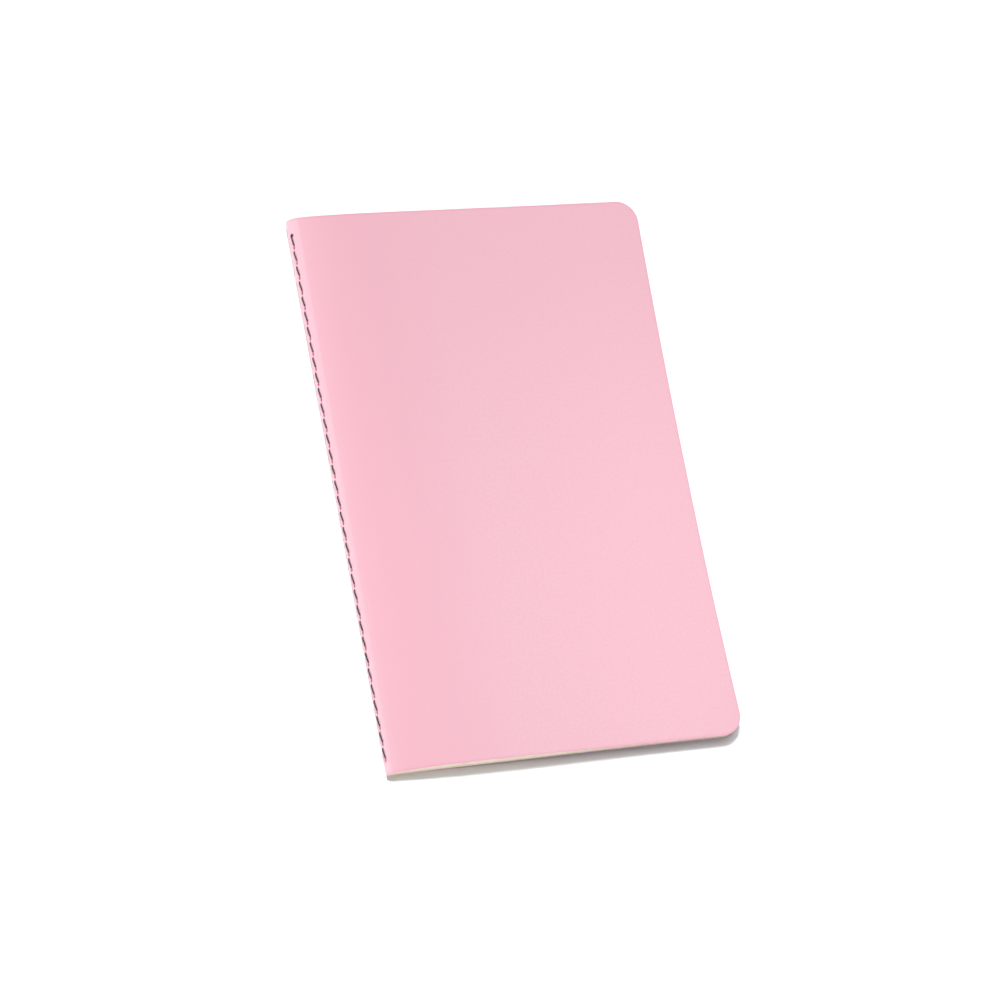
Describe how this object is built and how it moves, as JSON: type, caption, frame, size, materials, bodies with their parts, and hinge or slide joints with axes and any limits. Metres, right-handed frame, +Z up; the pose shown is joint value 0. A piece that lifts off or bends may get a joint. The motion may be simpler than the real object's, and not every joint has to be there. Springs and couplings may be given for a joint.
{
  "type": "notebook",
  "caption": "Slim soft-cover notebook with a folded card cover, blank leaves, rounded fore-edge corners and a row of stitches along the fold.",
  "frame": {"origin": "centre of the notebook's outline, on the surface that its back cover lies on", "axes": "+X from the spine to the fore-edge, +Y from the tail to the head, +Z up out of the front cover"},
  "size_m": [0.1408, 0.21, 0.0073],
  "materials": {
    "cover_card": "pale pink uncoated card with a fine matte grain",
    "leaf_paper": "ivory uncoated writing paper, seen as fine lines at the cut edge",
    "thread": "near-black twisted sewing thread"
  },
  "bodies": {
    "book_block": {"pages": "leaf_paper", "spine_fold": "cover_card", "needle_thread": "thread", "bobbin_thread": "thread"},
    "front_board": {"front_cover": "cover_card"},
    "back_board": {"back_cover": "cover_card"}
  },
  "joints": [
    {"name": "front_cover_hinge", "type": "hinge", "parent": "book_block", "child": "front_board", "pos_m": [-0.06602, 0, 0.00527], "axis": [0, -1, 0], "range_deg": [0, 175]},
    {"name": "back_cover_hinge", "type": "hinge", "parent": "book_block", "child": "back_board", "pos_m": [-0.066, 0, -0.0001], "axis": [0, 1, 0], "range_deg": [0, 175]}
  ]
}
